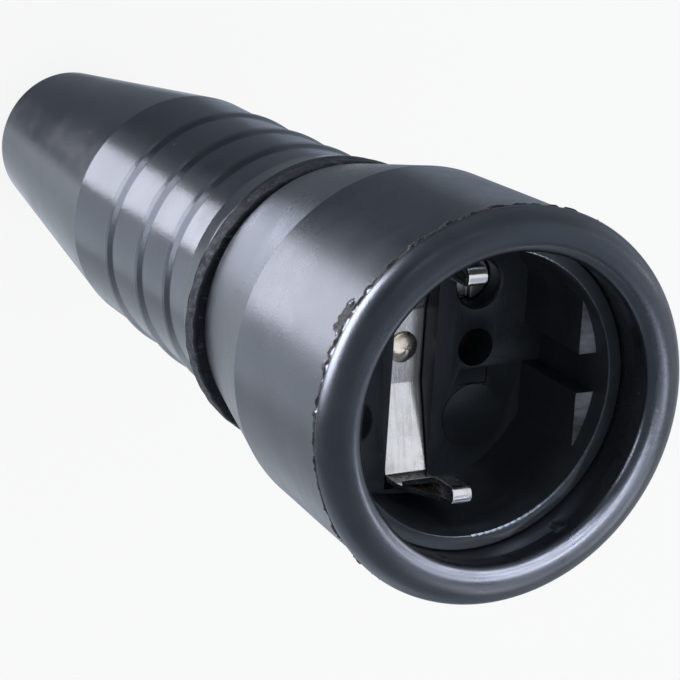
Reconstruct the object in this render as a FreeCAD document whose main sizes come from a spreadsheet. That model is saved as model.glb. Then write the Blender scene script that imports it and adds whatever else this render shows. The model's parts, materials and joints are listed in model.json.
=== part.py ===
import FreeCAD, Part
import math
import os

import Sketcher
from FreeCAD import Placement, Rotation, Vector

# Two-pole and earth inline socket connector in two rubber shells, millimetres.
# It stands on the flat end of its cable tail: origin in the middle of that end,
# +Z along the axis towards the mouth, +X through the right-hand pin hole.
# The front shell holds a moulded insert with the recess, the rear shell grips the
# neck of the contact carrier, and a rubber ring fills the groove between them.

# Driving sizes. Heights without a name of their own are worked out in PLACES.
SIZES = {
    # rear shell: smooth tail cone, then four grip bands, each with a proud edge
    "tail_radius": 10.2,
    "tail_rounding": 2.0,
    "tail_length": 40.0,
    "cone_radius": 17.2,
    "first_band": 11.0,
    "second_band": 10.4,
    "third_band": 9.4,
    "fourth_band": 12.1,
    "first_edge": 17.95,
    "second_edge": 18.5,
    "third_edge": 19.0,
    "boot_front": 20.4,
    "band_step": 0.55,
    "band_dip": 0.3,
    "band_lead": 1.8,
    "edge_rounding": 0.4,
    "cable_radius": 5.0,
    "throat_height": 24.0,
    "cavity_radius": 14.0,
    "cavity_room": 4.0,
    # rubber ring in the groove between the shells
    "joint_gap": 3.6,
    "ring_width": 2.4,
    "ring_radius": 21.3,
    "ring_shift": 0.5,
    # front shell: taper, barrel, moulding flash and rolled lip
    "front_back_radius": 20.3,
    "front_taper": 17.9,
    "shoulder_radius": 25.1,
    "barrel_length": 25.8,
    "barrel_radius": 26.9,
    "flash_radius": 27.5,
    "flash_thick": 0.3,
    "rim_radius": 27.2,
    "lip_rise": 3.6,
    "lip_radius": 21.4,
    "lip_outer_rounding": 3.15,
    "lip_inner_rounding": 1.0,
    "back_rounding": 0.6,
    # insert with the recess for the plug
    "recess_radius": 19.75,
    "recess_depth": 17.5,
    "rim_wall": 2.0,
    "lip_cover": 7.8,
    "floor_thick": 8.0,
    "insert_step": 3.0,
    "insert_tail_radius": 19.5,
    "rim_edge": 0.25,
    "guide_half": 16.9,
    "guide_slot": 5.5,
    "guide_below_rim": 3.2,
    "pin_pitch": 19.0,
    "pin_hole_radius": 2.7,
    "hole_edge": 0.35,
    "fixing_across": 9.4,
    "fixing_up": 9.0,
    "fixing_well_depth": 5.4,
    "disc_radius": 4.5,
    "disc_across": 9.5,
    "disc_down": 9.7,
    "disc_rise": 0.2,
    "pad_wide": 4.2,
    "pad_tall": 2.2,
    "pad_down": 4.2,
    "pad_sink": 0.35,
    # earth strip and its spring clips
    "strip_wide": 6.3,
    "strip_thick": 0.7,
    "strip_drop": 3.25,
    "strip_flat": 5.2,
    "clip_foot": 17.35,
    "clip_waist": 17.4,
    "clip_fold": 15.1,
    "clip_fold_radius": 0.65,
    "clip_knee": 14.6,
    "clip_tip": 16.55,
    "clip_top_drop": 2.85,
    "clip_knee_drop": 7.4,
    "clip_tip_drop": 12.9,
    "clip_waist_drop": 14.5,
    "clip_wide": 2.9,
    "rivet_radius": 2.2,
    "rivet_height": 0.95,
    "rivet_shank": 1.5,
    "rivet_grip": 4.0,
    # contact carrier
    "flange_thick": 6.0,
    "neck_radius": 15.0,
    "neck_web": 9.3,
    "bead_inset": 4.5,
    "bead_wide": 2.5,
    "bead_deep": 1.1,
    "tongue_radius": 13.0,
    "tongue_length": 16.0,
    "tongue_groove": 5.2,
    # contacts and terminals
    "sleeve_radius": 3.15,
    "sleeve_bore": 2.45,
    "sleeve_slot": 0.8,
    "sleeve_slot_length": 12.0,
    "sleeve_depth": 14.0,
    "contact_web": 3.2,
    "earth_radius": 3.6,
    "wire_radius": 1.6,
    "wire_depth": 8.0,
    "terminal_height": 4.2,
    "spring_thick": 0.4,
    "spring_length": 5.0,
    "spring_drop": 4.0,
    "spring_gap": 1.6,
    # screws and nuts
    "fixing_head_radius": 3.1,
    "fixing_head_height": 2.4,
    "fixing_shank": 1.75,
    "fixing_length": 8.0,
    "nut_side": 6.0,
    "nut_thick": 2.2,
    "nut_height": 1.2,
    "terminal_head_radius": 2.1,
    "terminal_head_height": 1.6,
    "terminal_shank": 1.4,
    "terminal_length": 3.6,
    "terminal_sink": 0.5,
    "clamp_head_radius": 2.6,
    "clamp_head_height": 1.8,
    "clamp_shank": 1.4,
    "clamp_length": 9.0,
    "slot_wide": 0.9,
    "slot_deep": 0.9,
    # cord clamp
    "clamp_across": 9.6,
    "saddle_half": 12.2,
    "saddle_long": 7.0,
    "saddle_thick": 1.6,
    "saddle_foot": 5.9,
    "saddle_top": 3.8,
    "saddle_arch": 4.0,
    # clearances
    "shell_play": 0.1,
    "ring_play": 0.1,
    "strip_play": 0.15,
    "screw_play": 0.2,
    "thread_play": 0.05,
    "contact_play": 0.3,
    "spring_play": 0.05,
}

# Places that follow from the driving sizes, as sums of terms.
PLACES = {
    "ring_bore": "neck_radius + 1.5 * ring_shift + ring_play",
    "band_one": "tail_length + first_band",
    "band_two": "band_one + second_band",
    "band_three": "band_two + third_band",
    "boot_top": "band_three + fourth_band",
    "front_bottom": "boot_top + joint_gap",
    "shoulder_height": "front_bottom + front_taper",
    "flash_height": "shoulder_height + barrel_length",
    "lip_height": "flash_height + lip_rise",
    "insert_face": "lip_height - lip_cover",
    "floor_height": "insert_face - recess_depth",
    "insert_bottom": "floor_height - floor_thick",
    "insert_shoulder": "insert_bottom + insert_step",
    "flange_bottom": "insert_bottom - flange_thick",
    "insert_radius": "recess_radius + rim_wall",
    "shell_bore": "insert_radius + shell_play",
    "shell_tail_bore": "insert_tail_radius + shell_play",
    "neck_bore": "neck_radius + shell_play",
    "strip_top": "floor_height - strip_drop",
    "well_floor": "floor_height - fixing_well_depth",
    "fold_height": "insert_face - clip_top_drop",
    "lip_wall": "rim_radius - lip_radius",
    "rim_rounding": "min(lip_outer_rounding; 0.6 * lip_wall; 0.98 * (lip_rise - flash_thick))",
    "mouth_rounding": "min(lip_inner_rounding; 0.35 * lip_wall)",
    "sleeve_top": "insert_bottom - contact_play",
    "sleeve_floor": "insert_bottom - sleeve_depth",
    "contact_end": "sleeve_floor - contact_web - wire_depth",
    "terminal_level": "contact_end + terminal_height",
    "nut_level": "flange_bottom + nut_height",
    "neck_end": "contact_end - neck_web",
    "bead_height": "neck_end + bead_inset",
    "clamp_height": "neck_end - tongue_length / 2",
    "cavity_floor": "neck_end - tongue_length - cavity_room",
}

DOC = FreeCAD.newDocument("inline_socket_connector")


def make_sheet():
    """Driving sizes first, then the places as formulas on them."""
    sheet = DOC.addObject("Spreadsheet::Sheet", "sizes")
    row = 1
    for name, content in list(SIZES.items()) + list(PLACES.items()):
        text = "=" + content if isinstance(content, str) else str(content)
        sheet.set("A%d" % row, name)
        sheet.set("B%d" % row, text)
        sheet.setAlias("B%d" % row, name)
        row += 1
    DOC.recompute()
    return sheet


SHEET = make_sheet()


def size(name):
    return float(SHEET.get(name))


def terms(text):
    """Split 'one + two - three/2' into (sign, name, divisor) terms."""
    sign = 1
    found = []
    for word in text.split():
        if word in "+-":
            sign = 1 if word == "+" else -1
            continue
        negative = word.startswith("-")
        name, _, divisor = word.lstrip("-").partition("/")
        found.append((-sign if negative else sign, name, float(divisor or 1)))
        sign = 1
    return found


def is_number(name):
    return name.replace(".", "", 1).isdigit()


def amount(text):
    """Value of a sum of sizes."""
    total = 0.0
    for sign, name, divisor in terms(text):
        total += sign * (float(name) if is_number(name) else size(name)) / divisor
    return total


def formula(text, flip=False):
    """The same sum as an expression on the sheet, with its sign turned on request."""
    parts = []
    for sign, name, divisor in terms(text):
        source = name if is_number(name) else "sizes." + name
        parts.append("%s %s / %g" % ("-" if (sign < 0) != flip else "+", source, divisor))
    return "0 " + " ".join(parts)


def bind(item, prop, text):
    item.setExpression(prop, formula(text))


def origin_plane(body, role):
    return next(item for item in body.Origin.OriginFeatures if item.Role == role)


def new_body(label):
    body = DOC.addObject("PartDesign::Body", label + "_body")
    body.Label = label
    return body


def new_sketch(body, role, name, offset=None):
    """Sketch on one of the body's own planes, raised along its normal."""
    sketch = body.newObject("Sketcher::SketchObject", name)
    sketch.AttachmentSupport = [(origin_plane(body, role), "")]
    sketch.MapMode = "FlatFace"
    if offset:
        sketch.AttachmentOffset = Placement(Vector(0, 0, amount(offset)), Rotation())
        bind(sketch, "AttachmentOffset.Base.z", offset)
    return sketch


def pin_point(sketch, geometry, point, across, up):
    """Tie a sketch point to the sheet along both axes."""
    for kind, axis, text in (("DistanceX", -2, across), ("DistanceY", -1, up)):
        value = amount(text)
        if text == "0":
            sketch.addConstraint(Sketcher.Constraint("PointOnObject", geometry, point, axis))
            continue
        ends = (-1, 1, geometry, point) if value >= 0 else (geometry, point, -1, 1)
        index = sketch.addConstraint(Sketcher.Constraint(kind, *ends, abs(value)))
        sketch.setExpression("Constraints[%d]" % index, formula(text, flip=value < 0))


def outline(sketch, corners):
    """Closed straight-sided outline through corners given as sums of sizes."""
    points = [Vector(amount(across), amount(up), 0) for across, up in corners]
    first = sketch.GeometryCount
    count = len(points)
    for index, point in enumerate(points):
        sketch.addGeometry(Part.LineSegment(point, points[(index + 1) % count]), False)
    for index in range(count):
        following = first + (index + 1) % count
        sketch.addConstraint(Sketcher.Constraint("Coincident", first + index, 2, following, 1))
    for index, (across, up) in enumerate(corners):
        pin_point(sketch, first + index, 1, across, up)


def circle(sketch, across, up, radius):
    middle = Vector(amount(across), amount(up), 0)
    index = sketch.addGeometry(Part.Circle(middle, Vector(0, 0, 1), amount(radius)), False)
    pin_point(sketch, index, 3, across, up)
    bound = sketch.addConstraint(Sketcher.Constraint("Radius", index, amount(radius)))
    sketch.setExpression("Constraints[%d]" % bound, formula(radius))


def rectangle(sketch, left, right, low, high):
    outline(sketch, [(left, low), (right, low), (right, high), (left, high)])


def revolve(body, corners, name="profile"):
    """Turn an outline of radius and height about the body's own Z axis."""
    sketch = new_sketch(body, "XZ_Plane", name)
    outline(sketch, corners)
    turn = body.newObject("PartDesign::Revolution", name + "_turn")
    turn.Profile = sketch
    turn.ReferenceAxis = (sketch, ["V_Axis"])
    turn.Angle = 360
    DOC.recompute()
    return turn


def cut(body, sketch, depth, reverse=False):
    """Pocket to a depth against the sketch normal, or along it when reversed."""
    before = body.Shape.Volume
    pocket = body.newObject("PartDesign::Pocket", sketch.Name + "_cut")
    pocket.Profile = sketch
    pocket.Length = amount(depth)
    bind(pocket, "Length", depth)
    pocket.Reversed = reverse
    DOC.recompute()
    if not body.Shape.Volume < before:
        raise RuntimeError("%s cuts nothing from %s" % (sketch.Name, body.Label))
    return pocket


def pad(body, sketch, length, reverse=False):
    block = body.newObject("PartDesign::Pad", sketch.Name + "_pad")
    block.Profile = sketch
    block.Length = amount(length)
    bind(block, "Length", length)
    block.Reversed = reverse
    DOC.recompute()
    return block


def ring_edges(shape, radius, height):
    """Names of the full circles about Z of this radius at this height."""
    names = []
    for index, edge in enumerate(shape.Edges, 1):
        curve = edge.Curve
        if not isinstance(curve, Part.Circle) or abs(curve.Axis.z) < 0.99:
            continue
        if abs(curve.Radius - radius) < 0.005 and abs(curve.Center.z - height) < 0.005:
            names.append("Edge%d" % index)
    return names


def round_rings(body, rings, radius, kind="Fillet"):
    """Fillet or chamfer the circles named as (radius, height) sums."""
    base = body.Tip
    names = []
    for ring_radius, ring_height in rings:
        names += ring_edges(base.Shape, amount(ring_radius), amount(ring_height))
    if not names:
        raise RuntimeError("no edge to round on " + body.Label)
    dress = body.newObject("PartDesign::" + kind, "%s_%s" % (kind.lower(), radius))
    dress.Base = (base, names)
    prop = "Radius" if kind == "Fillet" else "Size"
    setattr(dress, prop, amount(radius))
    bind(dress, prop, radius)
    DOC.recompute()
    return dress


def place(item, across="0", along="0", up="0", rotation=None):
    """Put a finished piece at a place given as sums of sizes."""
    base = Vector(amount(across), amount(along), amount(up))
    item.Placement = Placement(base, rotation or Rotation())
    for axis, text in (("x", across), ("y", along), ("z", up)):
        if text != "0":
            bind(item, "Placement.Base." + axis, text)
    return item


def rear_boot():
    body = new_body("rear_boot")
    corners = [
        ("cable_radius", "0"),
        ("tail_radius", "0"),
        ("cone_radius", "tail_length"),
    ]
    edges = [("first_edge", "band_one"), ("second_edge", "band_two"), ("third_edge", "band_three")]
    for edge, height in edges:
        corners += [
            (edge + " - band_step", height),
            (edge, height),
            (edge + " - band_dip", height + " + band_lead"),
        ]
    corners += [
        ("boot_front", "boot_top"),
        ("neck_bore", "boot_top"),
        ("neck_bore", "bead_height + bead_wide - shell_play"),
        ("neck_bore - bead_deep", "bead_height + bead_wide - shell_play"),
        ("neck_bore - bead_deep", "bead_height + shell_play"),
        ("neck_bore", "bead_height + shell_play"),
        ("neck_bore", "neck_end - shell_play"),
        ("cavity_radius", "neck_end - shell_play"),
        ("cavity_radius", "cavity_floor"),
        ("cable_radius", "throat_height"),
    ]
    revolve(body, corners)
    round_rings(body, [("tail_radius", "0")], "tail_rounding")
    round_rings(body, edges + [("boot_front", "boot_top")], "edge_rounding")
    return body


def joint_ring():
    """Loose rubber ring, slipped to one side of its groove."""
    body = new_body("joint_ring")
    low = "front_bottom - joint_gap/2 - ring_width/2"
    high = "front_bottom - joint_gap/2 + ring_width/2"
    revolve(body, [("ring_bore", low), ("ring_radius", low), ("ring_radius", high), ("ring_bore", high)])
    round_rings(body, [("ring_radius", low), ("ring_radius", high)], "edge_rounding")
    return place(body, "-ring_shift", "-ring_shift")


def front_body():
    body = new_body("front_body")
    revolve(body, [
        ("neck_bore", "front_bottom"),
        ("front_back_radius", "front_bottom"),
        ("shoulder_radius", "shoulder_height"),
        ("barrel_radius", "flash_height - flash_thick"),
        ("flash_radius", "flash_height - flash_thick/3"),
        ("flash_radius", "flash_height + flash_thick/3"),
        ("rim_radius", "flash_height + flash_thick"),
        ("rim_radius", "lip_height"),
        ("lip_radius", "lip_height"),
        ("lip_radius", "flash_height"),
        ("shell_bore", "insert_face"),
        ("shell_bore", "insert_shoulder"),
        ("shell_tail_bore", "insert_shoulder"),
        ("shell_tail_bore", "flange_bottom"),
        ("neck_bore", "flange_bottom"),
    ])
    round_rings(body, [("rim_radius", "lip_height")], "rim_rounding")
    round_rings(body, [("lip_radius", "lip_height")], "mouth_rounding")
    round_rings(body, [("front_back_radius", "front_bottom")], "back_rounding")
    return body


def guide_blocks(body):
    """Four blocks that narrow the recess to its guide flats, two to a side."""
    sketch = new_sketch(body, "XY_Plane", "guides", "floor_height")
    reach = size("recess_radius") + size("rim_wall") / 2
    half_slot = size("guide_slot") / 2
    flat = size("guide_half")
    for side in (1, -1):
        for way in (1, -1):
            near = Vector(side * flat, way * half_slot, 0)
            wall = Vector(side * math.sqrt(reach ** 2 - half_slot ** 2), way * half_slot, 0)
            far = Vector(side * flat, way * math.sqrt(reach ** 2 - flat ** 2), 0)
            middle = (wall + far).normalize() * reach
            first = sketch.GeometryCount
            sketch.addGeometry(Part.LineSegment(near, wall), False)
            sketch.addGeometry(Part.Arc(wall, middle, far), False)
            sketch.addGeometry(Part.LineSegment(far, near), False)
            start, end = (1, 2) if side * way > 0 else (2, 1)
            sketch.addConstraint(Sketcher.Constraint("Coincident", first, 2, first + 1, start))
            sketch.addConstraint(Sketcher.Constraint("Coincident", first + 1, end, first + 2, 1))
            sketch.addConstraint(Sketcher.Constraint("Coincident", first + 2, 2, first, 1))
            sketch.addConstraint(Sketcher.Constraint("PointOnObject", first + 1, 3, -1))
            sketch.addConstraint(Sketcher.Constraint("PointOnObject", first + 1, 3, -2))
            sketch.addConstraint(Sketcher.Constraint("Horizontal", first))
            sketch.addConstraint(Sketcher.Constraint("Vertical", first + 2))
            bound = sketch.addConstraint(Sketcher.Constraint("Radius", first + 1, reach))
            sketch.setExpression("Constraints[%d]" % bound, formula("recess_radius + rim_wall/2"))
            sign = ("" if side > 0 else "-", "" if way > 0 else "-")
            pin_point(sketch, first, 1, sign[0] + "guide_half", sign[1] + "guide_slot/2")
    pad(body, sketch, "recess_depth - guide_below_rim")


def socket_insert():
    body = new_body("socket_insert")
    revolve(body, [
        ("0", "insert_bottom"),
        ("insert_tail_radius", "insert_bottom"),
        ("insert_tail_radius", "insert_shoulder"),
        ("insert_radius", "insert_shoulder"),
        ("insert_radius", "insert_face"),
        ("recess_radius", "insert_face"),
        ("recess_radius", "floor_height"),
        ("0", "floor_height"),
    ])
    round_rings(body, [("insert_radius", "insert_face"), ("recess_radius", "insert_face")], "rim_edge")
    guide_blocks(body)

    discs = new_sketch(body, "XY_Plane", "discs", "floor_height")
    circle(discs, "disc_across", "-disc_down", "disc_radius")
    circle(discs, "-disc_across", "disc_down", "disc_radius")
    pad(body, discs, "disc_rise")

    pads = new_sketch(body, "XY_Plane", "pads", "floor_height")
    rectangle(pads, "pin_pitch/2 - pad_wide/2", "pin_pitch/2 + pad_wide/2",
              "-pad_down - pad_tall/2", "-pad_down + pad_tall/2")
    rectangle(pads, "-pin_pitch/2 - pad_wide/2", "-pin_pitch/2 + pad_wide/2",
              "pad_down - pad_tall/2", "pad_down + pad_tall/2")
    cut(body, pads, "pad_sink")

    channel = new_sketch(body, "XY_Plane", "channel", "floor_height")
    rectangle(channel, "-strip_wide/2 - strip_play", "strip_wide/2 + strip_play",
              "-clip_foot - strip_wide/4", "clip_foot + strip_wide/4")
    cut(body, channel, "strip_drop + strip_thick")

    pins = new_sketch(body, "XY_Plane", "pin_holes", "floor_height")
    circle(pins, "pin_pitch/2", "0", "pin_hole_radius")
    circle(pins, "-pin_pitch/2", "0", "pin_hole_radius")
    cut(body, pins, "floor_thick")

    wells = new_sketch(body, "XY_Plane", "fixing_wells", "floor_height")
    circle(wells, "fixing_across", "fixing_up", "fixing_head_radius + screw_play")
    circle(wells, "-fixing_across", "-fixing_up", "fixing_head_radius + screw_play")
    cut(body, wells, "fixing_well_depth")
    holes = new_sketch(body, "XY_Plane", "fixing_holes", "floor_height")
    circle(holes, "fixing_across", "fixing_up", "fixing_shank + screw_play")
    circle(holes, "-fixing_across", "-fixing_up", "fixing_shank + screw_play")
    circle(holes, "0", "0", "rivet_shank + thread_play")
    cut(body, holes, "floor_thick")
    round_rings(body, [("fixing_head_radius + screw_play", "floor_height")], "hole_edge", "Chamfer")
    return body


def drill(body, name, centres, radius, top, depth, role="XY_Plane"):
    """Blind round holes from a level downwards."""
    sketch = new_sketch(body, role, name, top)
    for across, up in centres:
        circle(sketch, across, up, radius)
    cut(body, sketch, depth)


def contact_carrier():
    body = new_body("contact_carrier")
    revolve(body, [
        ("0", "neck_end"),
        ("neck_radius", "neck_end"),
        ("neck_radius", "bead_height"),
        ("neck_radius - bead_deep", "bead_height"),
        ("neck_radius - bead_deep", "bead_height + bead_wide"),
        ("neck_radius", "bead_height + bead_wide"),
        ("neck_radius", "flange_bottom"),
        ("insert_tail_radius", "flange_bottom"),
        ("insert_tail_radius", "insert_bottom"),
        ("0", "insert_bottom"),
    ])
    tongue = new_sketch(body, "XY_Plane", "tongue", "neck_end")
    reach = size("tongue_radius")
    tongue.addGeometry(Part.LineSegment(Vector(-reach, 0, 0), Vector(reach, 0, 0)), False)
    tongue.addGeometry(Part.Arc(Vector(-reach, 0, 0), Vector(0, -reach, 0), Vector(reach, 0, 0)), False)
    tongue.addConstraint(Sketcher.Constraint("Coincident", 0, 1, 1, 1))
    tongue.addConstraint(Sketcher.Constraint("Coincident", 0, 2, 1, 2))
    tongue.addConstraint(Sketcher.Constraint("Horizontal", 0))
    pin_point(tongue, 1, 3, "0", "0")
    bound = tongue.addConstraint(Sketcher.Constraint("Radius", 1, reach))
    tongue.setExpression("Constraints[%d]" % bound, formula("tongue_radius"))
    pad(body, tongue, "tongue_length", reverse=True)

    groove = new_sketch(body, "XY_Plane", "cable_groove", "neck_end")
    circle(groove, "0", "0", "tongue_groove")
    cut(body, groove, "tongue_length")

    lines = [("pin_pitch/2", "0"), ("-pin_pitch/2", "0")]
    drill(body, "spring_bores", lines, "sleeve_radius + spring_thick + spring_play + contact_play",
          "insert_bottom", "sleeve_depth")
    drill(body, "contact_bores", lines, "sleeve_radius + contact_play", "insert_bottom",
          "insert_bottom - contact_end + contact_play")
    drill(body, "earth_bore", [("0", "0")], "earth_radius + thread_play", "insert_bottom",
          "insert_bottom - contact_end + contact_play")
    drill(body, "wire_ways", lines + [("0", "0")], "wire_radius + contact_play", "contact_end",
          "contact_end - neck_end + contact_play")
    drill(body, "fixing_holes", [("fixing_across", "fixing_up"), ("-fixing_across", "-fixing_up")],
          "fixing_shank + screw_play", "insert_bottom", "flange_thick")

    slots = new_sketch(body, "XY_Plane", "nut_slots", "nut_level")
    reach_out = "insert_tail_radius + nut_side"
    reach_out_low = "insert_tail_radius - nut_side"
    beyond = "nut_side/2 + thread_play"
    before = "nut_side/2 - thread_play"
    rectangle(slots, "fixing_across - " + before, "fixing_across + " + beyond,
              "fixing_up - " + before, reach_out)
    rectangle(slots, "-fixing_across - " + before, "-fixing_across + " + beyond, "-" + reach_out_low,
              "-fixing_up + " + beyond)
    cut(body, slots, "nut_thick + thread_play", reverse=True)

    screw_hole = "terminal_head_radius + screw_play"
    side = new_sketch(body, "YZ_Plane", "line_screw_holes_right")
    circle(side, "0", "terminal_level", screw_hole)
    cut(body, side, "neck_radius", reverse=True)
    side = new_sketch(body, "YZ_Plane", "line_screw_holes_left")
    circle(side, "0", "terminal_level", screw_hole)
    cut(body, side, "neck_radius")
    front = new_sketch(body, "XZ_Plane", "earth_screw_hole")
    circle(front, "0", "terminal_level", screw_hole)
    cut(body, front, "neck_radius", reverse=True)
    front = new_sketch(body, "XZ_Plane", "clamp_screw_holes")
    circle(front, "clamp_across", "clamp_height", "clamp_shank + thread_play")
    circle(front, "-clamp_across", "clamp_height", "clamp_shank + thread_play")
    cut(body, front, "clamp_length - saddle_thick + screw_play", reverse=True)
    return body


def rounded_path(points, radii):
    """Edges of a path whose inner corners are rounded off."""
    edges = []
    start = points[0]
    for index in range(1, len(points) - 1):
        corner, radius = points[index], radii[index - 1]
        back = (points[index - 1] - corner).normalize()
        ahead = (points[index + 1] - corner).normalize()
        half = back.getAngle(ahead) / 2
        if radius <= 0:
            edges.append(Part.makeLine(start, corner))
            start = corner
            continue
        run = radius / math.tan(half)
        enter, leave = corner + back * run, corner + ahead * run
        centre = corner + (back + ahead).normalize() * (radius / math.sin(half))
        middle = centre + (corner - centre).normalize() * radius
        if (enter - start).Length > 1e-6:
            edges.append(Part.makeLine(start, enter))
        edges.append(Part.Arc(enter, middle, leave).toShape())
        start = leave
    if (points[-1] - start).Length > 1e-6:
        edges.append(Part.makeLine(start, points[-1]))
    return edges


def ribbon(path, bends, thick, normal, width):
    """Folded strip: a path in a plane, thickened to both sides and drawn out along the normal."""
    sides = []
    for way in (1, -1):
        shift = way * thick / 2
        moved = []
        radii = []
        for index, point in enumerate(path):
            into = (point - path[index - 1]).normalize() if index else None
            out = (path[index + 1] - point).normalize() if index < len(path) - 1 else None
            first = normal.cross(into) if into else normal.cross(out)
            second = normal.cross(out) if out else first
            bisector = (first + second).normalize()
            moved.append(point + bisector * (shift / bisector.dot(first)))
            if into and out:
                turn = normal.dot(into.cross(out))
                radius = bends[index - 1]
                radii.append(radius - shift if turn > 0 else radius + shift)
        sides.append((moved, rounded_path(moved, radii)))
    (left, left_edges), (right, right_edges) = sides
    caps = [Part.makeLine(left[0], right[0]), Part.makeLine(left[-1], right[-1])]
    wire = Part.Wire(Part.__sortEdges__(left_edges + right_edges + caps))
    face = Part.Face(wire)
    face.translate(normal * (-width / 2))
    return face.extrude(normal * width)


def earth_clip():
    """One folded strip: flat in the channel, ramps, and a returned spring clip at each end."""
    thick = size("strip_thick")
    low = size("strip_top") - thick / 2
    face = size("insert_face")
    fold = size("fold_height")
    fold_radius = size("clip_fold_radius")
    apex = Vector(0, size("clip_fold"), fold)
    outer = [
        Vector(0, 0, low),
        Vector(0, size("strip_flat"), low),
        Vector(0, size("clip_foot"), size("floor_height") - thick / 2),
        Vector(0, size("clip_waist"), face - size("clip_waist_drop")),
        apex + Vector(0, fold_radius, 0),
        apex,
    ]
    inner = [
        apex,
        apex - Vector(0, fold_radius, 0),
        Vector(0, size("clip_knee"), face - size("clip_knee_drop")),
        Vector(0, size("clip_tip"), face - size("clip_tip_drop")),
    ]
    across = Vector(1, 0, 0)
    broad = ribbon(outer, [3.0, 0.8, 6.0, fold_radius * 0.9], thick, across, size("strip_wide"))
    narrow = ribbon(inner, [fold_radius * 0.9, 5.0], thick, across, size("clip_wide"))

    half, tip = size("strip_wide") / 2, size("clip_wide") / 2
    waist = face - size("clip_tip_drop")
    neck = face - size("clip_knee_drop")
    front = [(-half, low - thick), (half, low - thick), (half, waist), (tip, neck), (tip, face),
             (-tip, face), (-tip, neck), (-half, waist)]
    corners = [Vector(x, 0, z) for x, z in front]
    sheet_face = Part.Face(Part.makePolygon(corners + corners[:1]))
    window = sheet_face.extrude(Vector(0, size("recess_radius"), 0))
    side = broad.common(window).fuse(narrow)
    other = side.mirror(Vector(0, 0, 0), Vector(0, 1, 0))
    hole_radius = size("rivet_shank") + size("thread_play")
    hole = Part.makeCylinder(hole_radius, 4 * thick, Vector(0, 0, low - 2 * thick))
    clip = DOC.addObject("Part::Feature", "earth_clip")
    clip.Label = "earth_clip"
    clip.Shape = side.fuse(other).cut(hole).removeSplitter()
    return clip


def earth_rivet():
    body = new_body("earth_rivet")
    shank_end = "insert_bottom - rivet_grip"
    revolve(body, [
        ("0", shank_end),
        ("rivet_shank", shank_end),
        ("rivet_shank", "strip_top"),
        ("rivet_radius", "strip_top"),
        ("rivet_radius", "strip_top + rivet_height"),
        ("0", "strip_top + rivet_height"),
    ])
    round_rings(body, [("rivet_radius", "strip_top + rivet_height")], "rivet_height - thread_play")
    return body


def terminal_cuts(body, screw_role, reverse):
    """Blind wire hole from behind and the screw hole that meets it."""
    drill(body, "wire_hole", [("0", "0")], "wire_radius", "contact_end + wire_depth", "wire_depth")
    screw = new_sketch(body, screw_role, "screw_hole")
    circle(screw, "0", "terminal_level", "terminal_shank + thread_play")
    cut(body, screw, "neck_radius", reverse=reverse)


def pin_contact(side, way):
    """Turned contact: split sleeve in front, wire terminal behind."""
    body = new_body("pin_contact_" + side)
    revolve(body, [
        ("0", "contact_end"),
        ("sleeve_radius", "contact_end"),
        ("sleeve_radius", "sleeve_top"),
        ("sleeve_bore", "sleeve_top"),
        ("sleeve_bore", "sleeve_floor"),
        ("0", "sleeve_floor"),
    ])
    cross = new_sketch(body, "XY_Plane", "split", "sleeve_top")
    rectangle(cross, "-sleeve_slot/2", "sleeve_slot/2", "-earth_radius", "earth_radius")
    cut(body, cross, "sleeve_slot_length")
    terminal_cuts(body, "YZ_Plane", way > 0)
    return place(body, across="pin_pitch/2" if way > 0 else "-pin_pitch/2")


def earth_terminal():
    body = new_body("earth_terminal")
    revolve(body, [
        ("0", "contact_end"),
        ("earth_radius", "contact_end"),
        ("earth_radius", "insert_bottom"),
        ("rivet_shank + thread_play", "insert_bottom"),
        ("rivet_shank + thread_play", "insert_bottom - rivet_grip - contact_play"),
        ("0", "insert_bottom - rivet_grip - contact_play"),
    ])
    terminal_cuts(body, "XZ_Plane", True)
    return body


def primitive(kind, label, sizes, across="0", along="0", up="0"):
    item = DOC.addObject("Part::" + kind, label)
    for prop, text in sizes.items():
        setattr(item, prop, amount(text))
        bind(item, prop, text)
    return place(item, across, along, up)


def join(kind, label, base, tool):
    item = DOC.addObject("Part::" + kind, label)
    item.Base, item.Tool = base, tool
    item.Label = label
    return item


def contact_spring(side, way):
    """Open steel ring that presses the split sleeve together."""
    label = "contact_spring_" + side
    inner = "sleeve_radius + spring_play"
    tall = {"Height": "spring_length"}
    outer = primitive("Cylinder", label + "_outer", dict(tall, Radius=inner + " + spring_thick"))
    bore = primitive("Cylinder", label + "_bore", dict(tall, Radius=inner))
    gap = primitive("Box", label + "_gap",
                    dict(tall, Length="spring_gap", Width="earth_radius + spring_thick"),
                    across="-spring_gap/2")
    ring = join("Cut", label + "_ring", outer, bore)
    spring = join("Cut", label, ring, gap)
    return place(spring, across="pin_pitch/2" if way > 0 else "-pin_pitch/2",
                 up="sleeve_top - spring_drop - spring_length")


def slotted_screw(label, family, rotation=None, **where):
    """Slotted screw with its seat at the placement and its shank below it."""
    radius, height, length = family + "_head_radius", family + "_head_height", family + "_length"
    head = primitive("Cylinder", label + "_head", {"Radius": radius, "Height": height})
    shank = primitive("Cylinder", label + "_shank", {"Radius": family + "_shank", "Height": length},
                      up="-" + length)
    slot = primitive("Box", label + "_slot",
                     {"Length": "slot_wide", "Width": radius + " + " + radius, "Height": "slot_deep"},
                     across="-slot_wide/2", along="-" + radius, up=height + " - slot_deep")
    whole = join("Fuse", label + "_blank", head, shank)
    return place(join("Cut", label, whole, slot), rotation=rotation, **where)


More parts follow.
